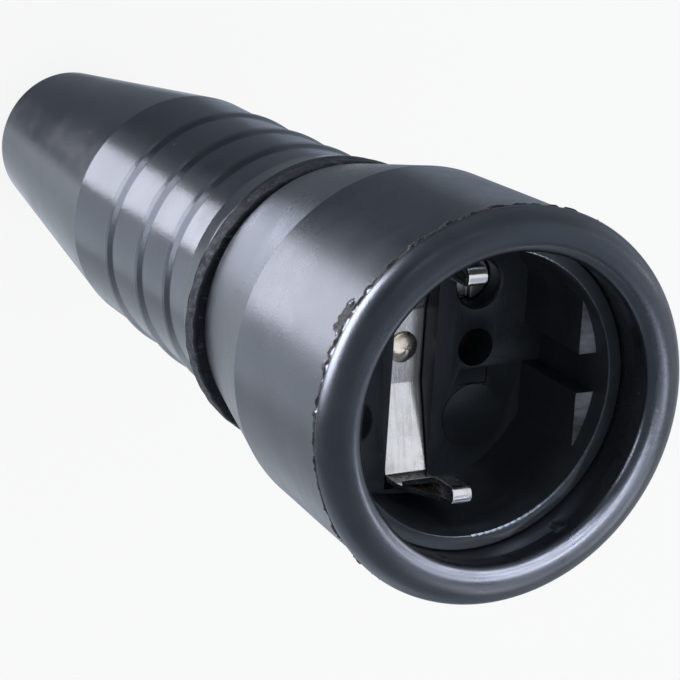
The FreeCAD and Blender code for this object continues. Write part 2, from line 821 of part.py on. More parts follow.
def fixing_nut(side, way):
    """Square nut in the carrier's slot."""
    label = "fixing_nut_" + side
    block = primitive("Box", label + "_block",
                      {"Length": "nut_side", "Width": "nut_side", "Height": "nut_thick"},
                      across="-nut_side/2", along="-nut_side/2")
    bore = primitive("Cylinder", label + "_bore",
                     {"Radius": "fixing_shank + thread_play", "Height": "nut_thick"})
    nut = join("Cut", label, block, bore)
    sign = "" if way > 0 else "-"
    return place(nut, sign + "fixing_across", sign + "fixing_up", "nut_level")


def clamp_saddle():
    """Bent strip over the cable groove, held by a screw on each side."""
    thick = size("saddle_thick")
    low = thick / 2
    half, foot, top = size("saddle_half"), size("saddle_foot"), size("saddle_top")
    high = low + size("saddle_arch")
    path = [Vector(x, y, 0) for x, y in
            ((-half, low), (-foot, low), (-top, high), (top, high), (foot, low), (half, low))]
    strip = ribbon(path, [thick, thick, thick, thick], thick, Vector(0, 0, 1), size("saddle_long"))
    for way in (1, -1):
        hole = Part.makeCylinder(size("clamp_shank") + size("screw_play"), 3 * thick,
                                 Vector(way * size("clamp_across"), -thick, 0), Vector(0, 1, 0))
        strip = strip.cut(hole)
    saddle = DOC.addObject("Part::Feature", "clamp_saddle")
    saddle.Label = "clamp_saddle"
    saddle.Shape = strip
    return place(saddle, up="clamp_height")


def build():
    pieces = [rear_boot(), joint_ring(), front_body(), socket_insert(), contact_carrier(),
              earth_clip(), earth_rivet(), earth_terminal(), clamp_saddle()]
    seat = "neck_radius - terminal_sink - terminal_head_height"
    seat_behind = "-neck_radius + terminal_sink + terminal_head_height"
    for side, way in (("left", -1), ("right", 1)):
        sign = "" if way > 0 else "-"
        pieces.append(pin_contact(side, way))
        pieces.append(contact_spring(side, way))
        outward = Rotation(Vector(0, 1, 0), 90 * way)
        across = seat if way > 0 else seat_behind
        pieces.append(slotted_screw("terminal_screw_" + side, "terminal", outward,
                                    across=across, up="terminal_level"))
        pieces.append(slotted_screw("clamp_screw_" + side, "clamp", Rotation(Vector(1, 0, 0), -90),
                                    across=sign + "clamp_across", along="saddle_thick",
                                    up="clamp_height"))
    pieces.append(slotted_screw("earth_terminal_screw", "terminal", Rotation(Vector(1, 0, 0), 90),
                                along=seat_behind, up="terminal_level"))
    for side, way in (("upper", 1), ("lower", -1)):
        sign = "" if way > 0 else "-"
        pieces.append(slotted_screw("fixing_screw_" + side, "fixing", across=sign + "fixing_across",
                                    along=sign + "fixing_up", up="well_floor"))
        pieces.append(fixing_nut(side, way))
    return pieces


def write(pieces):
    DOC.recompute()
    for item in DOC.Objects:
        if "Invalid" in item.State or "Error" in item.State:
            raise RuntimeError("%s failed: %s" % (item.Label, item.State))
    for piece in pieces:
        if piece.Shape.isNull() or not piece.Shape.isValid() or not piece.Shape.Solids:
            raise RuntimeError(piece.Label + " has no valid solid")
    os.makedirs("parts", exist_ok=True)
    for piece in pieces:
        piece.Shape.exportStep("parts/%s.step" % piece.Label)


write(build())
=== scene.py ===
import json
import math

import bmesh
import bpy
import numpy as np
from mathutils import Matrix, Vector


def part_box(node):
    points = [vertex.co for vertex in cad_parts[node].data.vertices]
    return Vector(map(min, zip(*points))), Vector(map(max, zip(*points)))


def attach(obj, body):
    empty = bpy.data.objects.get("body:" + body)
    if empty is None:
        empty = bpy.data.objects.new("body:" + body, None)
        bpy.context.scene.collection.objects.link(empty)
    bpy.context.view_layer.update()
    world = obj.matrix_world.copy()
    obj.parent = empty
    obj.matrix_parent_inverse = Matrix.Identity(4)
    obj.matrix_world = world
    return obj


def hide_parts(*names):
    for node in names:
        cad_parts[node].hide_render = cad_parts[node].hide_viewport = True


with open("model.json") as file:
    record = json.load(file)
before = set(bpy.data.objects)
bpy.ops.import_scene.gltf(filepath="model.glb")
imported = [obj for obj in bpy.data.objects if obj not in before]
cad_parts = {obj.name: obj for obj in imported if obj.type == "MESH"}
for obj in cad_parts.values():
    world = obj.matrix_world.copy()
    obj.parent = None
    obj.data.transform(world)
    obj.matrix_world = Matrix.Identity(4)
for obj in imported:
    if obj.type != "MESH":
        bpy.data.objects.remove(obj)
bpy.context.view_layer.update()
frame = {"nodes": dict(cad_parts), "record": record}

# Sizes are millimetres unless they say otherwise, and MM turns them into the frame's metres.
MM = 0.001
BODY = "root"


def extent(node):
    """A node's lowest and highest corners in millimetres."""
    return [[round(value / MM, 3) for value in corner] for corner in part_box(node)]


# heights along the axis, from the flat tail end at 0
CONE_TOP = 40.0
FLARE = 78.4
BOOT_TOP = extent("rear_boot")[1][2]
RING_MIDDLE = (extent("joint_ring")[0][2] + extent("joint_ring")[1][2]) / 2
FRONT_BOTTOM = extent("front_body")[0][2]
SHOULDER = 104.4
TORN_FROM = 127.2
FLASH = 130.2
LIP_TOP = extent("front_body")[1][2]
BLOCK_ENDS = (121.8, 123.8)

# heights inside the shells
THROAT_TOP = 24.0
CAVITY_BOTTOM = 30.0
CAVITY_TOP = 70.4
NECK_TOP = 94.5
COLLAR_TOP = 103.5
INSERT_FACE = extent("socket_insert")[1][2]

# radii of the outside
TAIL = 10.2
CONE_EDGE = 17.2
FLARE_EDGE = 19.25
BOOT_EDGE = 20.4
FRONT_EDGE = 20.3
SHOULDER_EDGE = 25.1
BARREL = 26.9
FLASH_EDGE = extent("front_body")[1][0]
RIM = 27.45
LIP_CROWN = 23.4
LIP_OPENING = 21.4

# radii inside the shells
CABLE_HOLE = 5.0
CAVITY = 14.0
NECK_BORE = 15.1
COLLAR_BORE = 19.6
SHELL_BORE = 21.85

# height and radius of each proud edge between two grip bands
BAND_EDGES = ((51.0, 17.95), (61.4, 18.5), (70.8, 19.0))

# radii within which a surface stays as its outline says
FRONT_PLAIN = 20.15
REAR_PLAIN = 9.0
RING_PLAIN = 18.5

# how much wider the barrel grows for each millimetre of height
BARREL_DRAFT = 0.07

# unevenness of the rubber, and how far the flash is worn back
SOFT_BARREL = 0.012
SOFT_LIP = 0.006
SOFT_TAIL = 0.004
SOFT_GRIP = 0.008
BAND_WAVE = 0.035
BOOT_WAVE = 0.05
BOOT_JOG = 0.16
FLASH_WEAR = 0.42

# torn flash: angle and half width in degrees, and how far it hangs down
TORN_FLASH = (
    (148.6, 4.6, 2.0), (158.6, 1.3, 0.8), (163.4, 1.0, 0.9), (139.0, 1.2, 0.5), (176.0, 1.3, 0.6),
    (96.0, 1.6, 0.7), (71.0, 1.8, 0.6), (212.0, 1.6, 0.6), (252.0, 1.9, 0.7), (301.0, 2.2, 0.8),
    (336.0, 1.5, 0.6))

# the loose ring: its bore and edge, its reach below and above its middle, and its slip to one side
RING_BORE = 15.85
RING_EDGE = 20.9
RING_BELOW = 1.55
RING_ABOVE = 1.2
RING_ROUNDING = 0.35
RING_OVAL = 0.45
RING_SHIFT = 0.25
RING_SLIP = math.radians(200)

# where the rear shell's top edge has a small jog
JOG_ANGLE = math.radians(140)

# earth strip and rivet
STRIP_LEVEL = 104.9
STRIP_HALF_THICK = 0.35
STRIP_ROUNDING = 0.1
CLIP_HALF_WIDTH = 1.45
CLIP_TAPER = (113.1, 118.6)
RIVET_HEAD = 0.95
RIVET_CROWN = 0.83
RIVET_SHANK = 1.5
RIVET_WAVE = 0.03

# how far apart the points of an outline are, and how far it stays from the axis
SPACING = 1.0
HIDDEN_SPACING = 4.0
RING_SPACING = 0.35
FLASH_SPACING = 0.14
STRIP_SPACING = 0.7
AXIS_GAP = 0.02

# roundings that the CAD solids don't have
INSERT_ROUNDING = 0.22
SCREW_ROUNDING = 0.15
SHARP_ANGLE = math.radians(28.0)


# Meshes and turned pieces

def add_object(name, data):
    obj = bpy.data.objects.new(name, data)
    bpy.context.scene.collection.objects.link(obj)
    return obj


def add_mesh(name, points, faces):
    mesh = bpy.data.meshes.new(name)
    mesh.from_pydata(points, [], faces)
    return add_object(name, mesh)


def face_outwards(obj):
    bm = bmesh.new()
    bm.from_mesh(obj.data)
    bmesh.ops.recalc_face_normals(bm, faces=bm.faces)
    bm.to_mesh(obj.data)
    bm.free()


def rounded_corner(before, corner, after, radius, steps):
    """Points of the arc that rounds one corner of an outline."""
    to_before = before - corner
    to_after = after - corner
    u = to_before / np.linalg.norm(to_before)
    v = to_after / np.linalg.norm(to_after)
    half = math.acos(max(-1.0, min(1.0, float(u @ v)))) / 2
    cut = radius / math.tan(half)
    limit = 0.49 * min(np.linalg.norm(to_before), np.linalg.norm(to_after))
    if cut > limit:
        cut = limit
        radius = cut * math.tan(half)
    centre = corner + (u + v) / np.linalg.norm(u + v) * radius / math.sin(half)
    start = corner + u * cut - centre
    end = corner + v * cut - centre
    turn = math.atan2(start[0] * end[1] - start[1] * end[0], float(start @ end))
    points = []
    for step in range(steps + 1):
        angle = turn * step / steps
        c, s = math.cos(angle), math.sin(angle)
        points.append(centre + np.array((c * start[0] - s * start[1], s * start[0] + c * start[1])))
    return points


def oval_arc(centre, across, up, start, end, steps):
    """Points of an oval arc between two angles in degrees."""
    points = []
    for step in range(steps + 1):
        angle = math.radians(start + (end - start) * step / steps)
        points.append((centre[0] + across * math.cos(angle), centre[1] + up * math.sin(angle)))
    return points


def profile(corners, spacing=SPACING):
    """A closed loop of (radius, height) points. A corner that shows is (radius, height, rounding,
    steps), a hidden sharp one (radius, height), and a list holds ready points."""
    ready = [isinstance(c, list) for c in corners]
    first = [np.array(c[0] if r else c[:2], float) for c, r in zip(corners, ready)]
    last = [np.array(c[-1] if r else c[:2], float) for c, r in zip(corners, ready)]
    shown = [r or len(c) > 2 for c, r in zip(corners, ready)]
    count = len(corners)
    runs = []
    for i, corner in enumerate(corners):
        if ready[i]:
            runs.append([np.array(point, float) for point in corner])
        elif shown[i] and corner[2] > 0:
            runs.append(rounded_corner(last[i - 1], first[i], first[(i + 1) % count], corner[2], corner[3]))
        else:
            runs.append([first[i]])
    loop = []
    for i, run in enumerate(runs):
        loop += run
        start, end = run[-1], runs[(i + 1) % count][0]
        length = float(np.linalg.norm(end - start))
        pieces = max(1, int(math.ceil(length / (spacing if shown[i] else HIDDEN_SPACING))))
        stops = [k / pieces for k in range(1, pieces)]
        if shown[i] and length > 0.5:
            # a close loop at each end keeps the shading of the roundings off the flat
            near = 0.12 / length
            stops = sorted(set(stops + [near, 1 - near]))
        loop += [start + (end - start) * stop for stop in stops]
    return np.array(loop)


def turned(name, loop, segments, shape):
    """A closed turned solid: the loop carried round the axis, with the surface moved by shape()."""
    count = len(loop)
    phi = np.repeat(np.arange(segments) * (2 * math.pi / segments), count)
    radius, height = shape(phi, np.tile(loop[:, 0], segments), np.tile(loop[:, 1], segments))
    points = np.stack((radius * np.cos(phi), radius * np.sin(phi), height), 1) * MM
    ring = np.arange(segments)[:, None] * count
    next_ring = ((np.arange(segments) + 1) % segments)[:, None] * count
    here = np.arange(count)[None, :]
    there = ((np.arange(count) + 1) % count)[None, :]
    faces = np.stack((ring + here, next_ring + here, next_ring + there, ring + there), 2).reshape(-1, 4)
    obj = add_mesh(name, points.tolist(), faces.tolist())
    obj.data.polygons.foreach_set("use_smooth", np.ones(len(faces), bool))
    face_outwards(obj)
    return obj


def waves(phi, seed, turns, count, along=0.0, pitch=(1.0, 1.0)):
    """Smooth unevenness, about -1 to 1, that joins up after a full turn. It repeats as often as
    turns says round the axis, and at the pitch along it where along is given."""
    random = np.random.default_rng(seed)
    total = np.zeros_like(phi)
    for _ in range(count):
        round_turns = random.integers(turns[0], turns[1] + 1)
        wave = random.uniform(pitch[0], pitch[1]) * random.choice((-1.0, 1.0))
        total += np.cos(round_turns * phi + along / wave * 2 * math.pi + random.uniform(0, 2 * math.pi))
    return total / math.sqrt(count)


def bump_at(value, centre, width):
    """1 at the centre, falling smoothly to 0 at the width."""
    return np.clip(1 - np.abs(value - centre) / width, 0, 1) ** 2


def angle_from(phi, centre):
    """The angle from the centre, between -pi and pi."""
    return (phi - centre + math.pi) % (2 * math.pi) - math.pi


def face_places(obj):
    """Angle, radius and height of the middle of each face."""
    middles = np.zeros(len(obj.data.polygons) * 3)
    obj.data.polygons.foreach_get("center", middles)
    x, y, height = middles.reshape(-1, 3).T / MM
    return np.arctan2(y, x), np.hypot(x, y), height


def two_looks(obj, main, other, chosen):
    """Gives the chosen faces the other look."""
    obj.data.materials.append(looks[main])
    obj.data.materials.append(looks[other])
    obj.data.polygons.foreach_set("material_index", chosen.astype(np.int32))


# The three rubber pieces

def torn_flash(phi, height):
    """Torn bits of flash that hang over the barrel's end: their fray, and 1 inside them."""
    fray = 0.5 * waves(phi, 16, (60, 200), 14, height, (0.5, 2.0))
    total = np.zeros_like(phi)
    for angle, half_width, hang in TORN_FLASH:
        across = 1 - np.abs(angle_from(phi, math.radians(angle))) / math.radians(half_width)
        below = 1 - (FLASH - height) / hang
        inside = np.clip(4.0 * np.minimum(across, below + 0.25) + fray, 0, 1) * (across > -0.2)
        near = (height < FLASH + 0.3) & (height > FLASH - hang - 0.3)
        total = np.maximum(total, inside * near)
    return fray, total


def front_surface(phi, radius, height):
    """Soft unevenness of the rubber, the ragged flash line and the torn bits of flash."""
    moved = radius > FRONT_PLAIN
    barrel = moved & (height < FLASH - 0.6) & (height > FRONT_BOTTOM + 0.8)
    lip = moved & (height > FLASH + 0.8)
    soft = waves(phi, 11, (2, 9), 14, height, (9.0, 26.0))
    radius = radius + np.where(barrel, SOFT_BARREL * soft, 0.0)
    radius = radius + np.where(lip, SOFT_LIP * soft, 0.0)
    # moulding flash: a thin ragged fin at the foot of the lip
    fin = bump_at(radius, FLASH_EDGE, 0.45) * (np.abs(height - FLASH) < 0.35)
    ragged = 0.5 + 0.5 * waves(phi, 12, (20, 90), 10)
    fine = 0.5 + 0.5 * waves(phi, 13, (90, 230), 12)
    worn = np.clip(0.6 * ragged + 0.4 * fine, 0, 1)
    radius = radius - FLASH_WEAR * fin * worn
    fray, torn = torn_flash(phi, height)
    radius = radius + np.where(moved, torn * (0.3 + 0.2 * fray), 0.0)
    foot = bump_at(height, FLASH, 0.7) * moved
    height = height + foot * (0.07 * waves(phi, 14, (12, 70), 10) + 0.05 * waves(phi, 15, (70, 200), 10))
    return np.where(moved, np.minimum(radius, FLASH_EDGE), radius), height


def rear_surface(phi, radius, height):
    """Soft unevenness that grows up the cone, wavy band edges and a jog in the top edge."""
    shown = (radius > REAR_PLAIN) & (height > 1.0) & (height < BOOT_TOP - 0.05)
    soft = waves(phi, 21, (2, 7), 14, height, (8.0, 24.0))
    depth = SOFT_TAIL + SOFT_GRIP * np.clip((height - CONE_TOP) / 20.0, 0, 1)
    radius = radius + np.where(shown, depth * soft, 0.0)
    edge = np.clip((height - (BOOT_TOP - 3.0)) / 3.0, 0, 1) * (radius > 17.0)
    from_jog = angle_from(phi, JOG_ANGLE)
    jog = np.tanh(from_jog * 40) * bump_at(from_jog, 0, 0.6)
    height = height + edge * (BOOT_WAVE * waves(phi, 22, (3, 16), 9) - BOOT_JOG * jog)
    for edge_height, edge_radius in BAND_EDGES:
        near = bump_at(height, edge_height, 0.8) * (radius > edge_radius - 0.7)
        height = height + BAND_WAVE * near * waves(phi, 23 + int(edge_height), (3, 22), 8)
    return radius, height


def ring_surface(phi, radius, height):
    """The ring is pulled slightly oval, with a rough outer face and torn edges."""
    outer = np.clip((radius - RING_PLAIN) / 2.0, 0, 1)
    rough = waves(phi, 31, (8, 60), 16, height, (1.2, 5.0))
    slow = waves(phi, 32, (3, 7), 6)
    oval = RING_OVAL * np.cos(2 * (phi - RING_SLIP))
    radius = radius + outer * (oval + 0.045 * rough + 0.03 * slow)
    side = np.sign(height - RING_MIDDLE)
    height = height + outer * side * (0.06 * waves(phi, 33, (5, 40), 10) - 0.02)
    return radius, height


def front_shell():
    """Taper, barrel, moulding flash and rolled lip, with a matt look on the flash and painted shade in the
    crease along it.
    """
    foot = FLASH - 0.5
    # close loops below the foot, for the torn flash to hang in
    heights = np.arange(TORN_FROM, FLASH - 0.55, FLASH_SPACING)
    barrel_end = [(BARREL - BARREL_DRAFT * (foot - z), z) for z in heights]
    corners = [
        (FRONT_EDGE, FRONT_BOTTOM, 0.6, 6),
        (SHOULDER_EDGE, SHOULDER, 0.9, 5),
        barrel_end,
        (BARREL, foot, 0.06, 2),
        (BARREL - 0.1, FLASH - 0.2, 0.04, 2),
        (FLASH_EDGE, FLASH - 0.08, 0.03, 2),
        (FLASH_EDGE, FLASH + 0.08, 0.03, 2),
        (RIM - 0.4, FLASH + 0.22, 0.05, 2),
        (RIM - 0.35, FLASH + 0.42, 0.08, 2),
        oval_arc((LIP_CROWN, LIP_TOP - 3.2), 4.05, 3.2, 8, 90, 24),
        oval_arc((LIP_CROWN, LIP_TOP - 1.7), 2.0, 1.7, 97, 172, 16),
        (LIP_OPENING, FLASH, 0.3, 3),
        (SHELL_BORE, INSERT_FACE),
        (SHELL_BORE, COLLAR_TOP),
        (COLLAR_BORE, COLLAR_TOP),
        (COLLAR_BORE, NECK_TOP),
        (NECK_BORE, NECK_TOP),
        (NECK_BORE, FRONT_BOTTOM, 0.0, 1),
    ]
    shell = turned("front_shell", profile(corners), 560, front_surface)
    phi, radius, height = face_places(shell)
    # the band along the flash gets the near-black matt rubber: painted shade for the crease under the fin;
    # the torn bits get it for their matt broken look
    lower = FLASH - 0.3 - 0.14 * waves(phi, 17, (9, 120), 12)
    upper = FLASH + 0.26 + 0.1 * waves(phi, 18, (9, 120), 12)
    flash_line_shade = (height > lower) & (height < upper)
    torn = torn_flash(phi, height)[1] > 0.45
    two_looks(shell, "front_rubber", "torn_rubber_and_painted_shade", (radius > 25.5) & (flash_line_shade | torn))
    return shell


def rear_shell():
    """Smooth tail cone and four grip bands, with a proud edge at the foot of the upper three."""
    corners = [
        (CABLE_HOLE, 0.0, 0.5, 3),
        (TAIL, 0.0, 2.0, 10),
        (CONE_EDGE, CONE_TOP, 1.5, 4),
    ]
    for height, radius in BAND_EDGES:
        corners += [
            (radius - 0.5, height - 0.25, 0.1, 2),
            (radius, height, 0.4, 6),
            (radius - 0.02, height + 1.1, 0.9, 4),
            (radius - 0.3, height + 2.3, 0.6, 3),
        ]
    corners += [
        (FLARE_EDGE, FLARE, 3.0, 6),
        (BOOT_EDGE, BOOT_TOP, 0.4, 5),
        (NECK_BORE, BOOT_TOP),
        (NECK_BORE, CAVITY_TOP),
        (CAVITY, CAVITY_TOP),
        (CAVITY, CAVITY_BOTTOM),
        (CABLE_HOLE, THROAT_TOP),
    ]
    return turned("rear_shell", profile(corners), 440, rear_surface)


def groove_ring():
    """The loose ring between the shells, off centre, with a dark line of painted shade along its lower edge,
    for the gap above the rear shell.
    """
    low = RING_MIDDLE - RING_BELOW
    high = RING_MIDDLE + RING_ABOVE
    corners = [
        (RING_BORE, low, 0.0, 1),
        (RING_EDGE, low, RING_ROUNDING, 5),
        (RING_EDGE, high, RING_ROUNDING, 5),
        (RING_BORE, high, 0.0, 1),
    ]
    ring = turned("groove_ring", profile(corners, RING_SPACING), 720, ring_surface)
    phi, _, height = face_places(ring)
    # the faces along the lower edge get the near-black rubber as painted shade for the gap there
    two_looks(ring, "ring_rubber", "torn_rubber_and_painted_shade", height < low + 0.5 + 0.1 * waves(phi, 34, (5, 60), 10))
    ring.data.transform(Matrix.Translation((-RING_SHIFT * MM, -RING_SHIFT * MM, 0)))
    return ring


# The earth strip, its rivet and the rounded copies of CAD solids

def strip_rivet():
    """Rivet with a domed, slightly uneven head on its shank."""
    low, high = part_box("earth_rivet")
    middle = (low + high) / 2
    head = (high.x - low.x) / 2 / MM
    bottom, top = low.z / MM, high.z / MM
    seat = top - RIVET_HEAD
    ball = (head * head + RIVET_CROWN * RIVET_CROWN) / (2 * RIVET_CROWN)
    edge = math.asin(head / ball)
    steps = 22
    line = [(AXIS_GAP, bottom), (RIVET_SHANK, bottom), (RIVET_SHANK, seat), (head - AXIS_GAP, seat)]
    for step in range(steps, 0, -1):
        angle = edge * step / steps
        line.append((ball * math.sin(angle), top - ball + ball * math.cos(angle)))
    line.append((AXIS_GAP, top))

    def crown_surface(phi, radius, height):
        uneven = RIVET_WAVE * (height > seat + 0.3) * waves(phi, 41, (1, 4), 8, radius, (1.5, 4.0))
        return radius, height + uneven

    rivet = turned("strip_rivet", np.array(line), 96, crown_surface)
    rivet.data.materials.append(looks["rivet_brass"])
    rivet.data.transform(Matrix.Translation((middle.x, middle.y, 0)))
    return rivet


def strip_line(top):
    """The middle line of the earth strip and its two folded clips, as (y, height) points."""
    # the bends of one half, from the middle out: y, height, radius and steps
    bends = (
        (5.2, STRIP_LEVEL, 1.0, 5),
        (17.35, 108.15, 0.8, 6),
        (17.4, 111.5, 6.0, 4),
        (16.0, top, 0.88, 12),
        (14.2, top, 0.88, 12),
        (14.25, 118.3, 3.5, 8),
    )
    corners = [np.array((0.0, STRIP_LEVEL))]
    corners += [np.array(bend[:2]) for bend in bends]
    corners.append(np.array((16.55, 112.9)))
    line = [corners[0]]
    for i, (_, _, radius, steps) in enumerate(bends, 1):
        line += rounded_corner(corners[i - 1], corners[i], corners[i + 1], radius, steps)
    line.append(corners[-1])
    fine = [line[0]]
    for point in line[1:]:
        start = fine[-1]
        gap = point - start
        pieces = max(1, int(math.ceil(np.linalg.norm(gap) / STRIP_SPACING)))
        fine += [start + gap * k / pieces for k in range(1, pieces + 1)]
    one_side = np.array(fine)
    other_side = one_side[:0:-1] * (-1, 1)
    return np.concatenate((other_side, one_side))


def strip_section():
    """The strip's cross-section with rounded edges: side, distance in from that side, and height."""
    section = []
    for number, (side, face) in enumerate(((1, 1), (-1, 1), (-1, -1), (1, -1))):
        flat = [(side, inset, face * STRIP_HALF_THICK) for inset in (0.9, 0.45)]
        arc = []
        for step in range(4):
            angle = math.radians(90 * number + 30 * step)
            inset = STRIP_ROUNDING - STRIP_ROUNDING * abs(math.cos(angle))
            drop = STRIP_ROUNDING - STRIP_ROUNDING * abs(math.sin(angle))
            arc.append((side, inset, face * (STRIP_HALF_THICK - drop)))
        section += flat + arc if number % 2 else arc + flat[::-1]
    return section


def earth_strip():
    """One bent ribbon of plated strip: flat over the middle, ramped, and folded over at both clips."""
    low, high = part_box("earth_clip")
    line = strip_line(high.z / MM - STRIP_HALF_THICK)
    along = np.gradient(line, axis=0)
    along /= np.linalg.norm(along, axis=1)[:, None]
    normal = np.stack((-along[:, 1], along[:, 0]), 1)
    half_width = np.interp(line[:, 1], CLIP_TAPER, ((high.x - low.x) / 2 / MM, CLIP_HALF_WIDTH))
    section = strip_section()
    points = []
    for (y, z), (ny, nz), wide in zip(line, normal, half_width):
        for side, inset, up in section:
            points.append((side * (wide - inset) * MM, (y + ny * up) * MM, (z + nz * up) * MM))
    count = len(section)
    faces = []
    for i in range(len(line) - 1):
        for j in range(count):
            k = (j + 1) % count
            faces.append((i * count + j, i * count + k, (i + 1) * count + k, (i + 1) * count + j))
    faces.append(tuple(range(count)))
    faces.append(tuple((len(line) - 1) * count + j for j in range(count)))
    strip = add_mesh("earth_strip", points, faces)
    strip.data.polygons.foreach_set("use_smooth", [True] * (len(faces) - 2) + [False] * 2)
    face_outwards(strip)
    return strip


def softened(name, node, rounding):
    """A copy of a CAD node with its sharp edges rounded."""
    mesh = frame["nodes"][node].data.copy()
    mesh.name = name
    bm = bmesh.new()
    bm.from_mesh(mesh)
    bmesh.ops.remove_doubles(bm, verts=bm.verts, dist=2e-6)
    bmesh.ops.dissolve_limit(bm, angle_limit=math.radians(0.4), verts=bm.verts, edges=bm.edges)
    for face in bm.faces:
        face.smooth = True
    bm.to_mesh(mesh)
    bm.free()
    mesh.materials.clear()
    obj = add_object(name, mesh)
    bevel = obj.modifiers.new("edges", "BEVEL")
    bevel.width = rounding * MM
    bevel.segments = 2
    bevel.limit_method = "ANGLE"
    bevel.angle_limit = SHARP_ANGLE
    bevel.harden_normals = True
    bevel.use_clamp_overlap = True
    return obj


def recess_insert():
    """The insert, with a painted highlight on its rounded corners and painted light on the ends of its guide
    blocks.
    """
    insert = softened("recess_insert", "socket_insert", INSERT_ROUNDING)
    for name in ("insert_plastic", "edge_painted_highlight", "block_end_painted_light"):
        insert.data.materials.append(looks[name])
    # the rounded edges get the pale material, a painted highlight
    insert.modifiers["edges"].material = 1
    # the flat ends of the guide blocks, facing up, get the pale material: painted light
    low, high = BLOCK_ENDS
    for face in insert.data.polygons:
        if face.normal.z > 0.9 and low < face.center.z / MM < high:
            face.material_index = 2
    return insert


# Materials. Their noise scales and stretches are per metre, and bump distances are metres.

class Nodes:
    """Makes nodes in one tree and joins them up."""

    def __init__(self, tree):
        self.tree = tree

    def add(self, kind, inputs=None, **settings):
        made = self.tree.nodes.new("ShaderNode" + kind)
        for key, value in settings.items():
            setattr(made, key, value)
        for key, value in (inputs or {}).items():
            self.put(made.inputs[key], value)
        return made

    def put(self, socket, value):
        if isinstance(value, bpy.types.NodeSocket):
            self.tree.links.new(value, socket)
        else:
            socket.default_value = value

    def math(self, operation, a, b=0.0, clamp=False):
        return self.add("Math", {0: a, 1: b}, operation=operation, use_clamp=clamp).outputs[0]

    def blend(self, share, a, b):
        return self.add("Mix", {"Factor": share, 6: a, 7: b}, data_type="RGBA").outputs[2]

    def seen_rays(self):
        """1 for rays that show a surface, from the camera or by reflection, and 0 for matt light."""
        rays = self.add("LightPath").outputs
        indirect = self.math("ADD", rays["Is Glossy Ray"], rays["Is Transmission Ray"])
        return self.math("ADD", rays["Is Camera Ray"], indirect, clamp=True)


class Look(Nodes):
    """One material, with the patterns that it is made from."""

    INPUTS = {"colour": "Base Color", "roughness": "Roughness", "normal": "Normal", "metal": "Metallic",
              "ior": "IOR", "tint": "Specular Tint", "glow_colour": "Emission Color",
              "glow": "Emission Strength"}

    def __init__(self, name):
        self.material = bpy.data.materials.new(name)
        self.material.use_nodes = True
        super().__init__(self.material.node_tree)
        self.shader = self.tree.nodes["Principled BSDF"]
        self.place = self.add("TexCoord").outputs["Object"]

    def noise(self, vector, scale, detail=3.0, roughness=0.5, distortion=0.0):
        made = self.add("TexNoise", {"Vector": vector, "Scale": scale, "Detail": detail,
                                     "Roughness": roughness, "Distortion": distortion})
        return made.outputs["Fac"]

    def ramp(self, value, low, high, out_low=0.0, out_high=1.0):
        """Goes smoothly from out_low to out_high as the value goes from low to high."""
        made = self.add("MapRange", {"Value": value, "From Min": low, "From Max": high,
                                     "To Min": out_low, "To Max": out_high},
                        interpolation_type="SMOOTHSTEP")
        return made.outputs["Result"]

    def summed(self, *parts):
        """The parts added up, each given with its share."""
        scaled = [self.math("MULTIPLY", part, share) for part, share in parts]
        total = scaled.pop()
        while scaled:
            total = self.math("ADD", scaled.pop(), total)
        return total

    def over(self, colour, mask, strength, cover):
        """The colour with another one laid over it where the mask is 1."""
        return self.blend(self.math("MULTIPLY", mask, strength), colour, cover)

    def stretched(self, x, y, z):
        return self.add("Mapping", {"Vector": self.place, "Scale": (x, y, z)}).outputs["Vector"]

    def round_axis(self, per_turn, per_metre):
        """Coordinates that follow the surface round the axis: turns, radius and height."""
        parts = self.add("SeparateXYZ", {"Vector": self.place}).outputs
        turn = self.math("ARCTAN2", parts["Y"], parts["X"])
        flat = self.add("CombineXYZ", {"X": parts["X"], "Y": parts["Y"], "Z": 0.0}).outputs[0]
        reach = self.add("VectorMath", {0: flat}, operation="LENGTH").outputs["Value"]
        return self.add("CombineXYZ", {
            "X": self.math("MULTIPLY", turn, per_turn),
            "Y": self.math("MULTIPLY", reach, per_metre),
            "Z": self.math("MULTIPLY", parts["Z"], per_metre)}).outputs[0]

    def specks(self, scale, size, share, seed=0.0):
        """Scattered small spots: 1 inside a spot."""
        moved = self.add("Mapping", {"Vector": self.place, "Location": (seed, seed * 0.7, seed * 1.3)})
        cells = self.add("TexVoronoi", {"Vector": moved.outputs[0], "Scale": scale, "Randomness": 1.0})
        inside = self.math("LESS_THAN", cells.outputs["Distance"], size)
        channels = self.add("SeparateColor", {"Color": cells.outputs["Color"]})
        chosen = self.math("LESS_THAN", channels.outputs[0], share)
        return self.math("MULTIPLY", inside, chosen)

    def scratches(self):
        """A few short thin scratches that run in different directions."""
        total = 0.0
        for turn, lean, seed in ((0.4, 0.7, 0.0), (1.9, -0.5, 4.0)):
            lines = self.add("Mapping", {"Vector": self.place, "Rotation": (lean, turn, seed),
                                         "Location": (seed, 0.0, 0.0), "Scale": (150.0, 5200.0, 3800.0)})
            thin = self.ramp(self.noise(lines.outputs[0], 1.0, 1.0, 0.4), 0.79, 0.83)
            total = self.math("ADD", total, thin, clamp=True)
        spread = self.ramp(self.noise(self.place, 60.0, 2.0), 0.5, 0.62)
        return self.math("MULTIPLY", total, spread)

    def bump(self, height, distance):
        return self.add("Bump", {"Height": height, "Distance": distance, "Strength": 1.0}).outputs["Normal"]

    def finish(self, **values):
        for key, value in values.items():
            self.put(self.shader.inputs[self.INPUTS[key]], value)
        return self.material


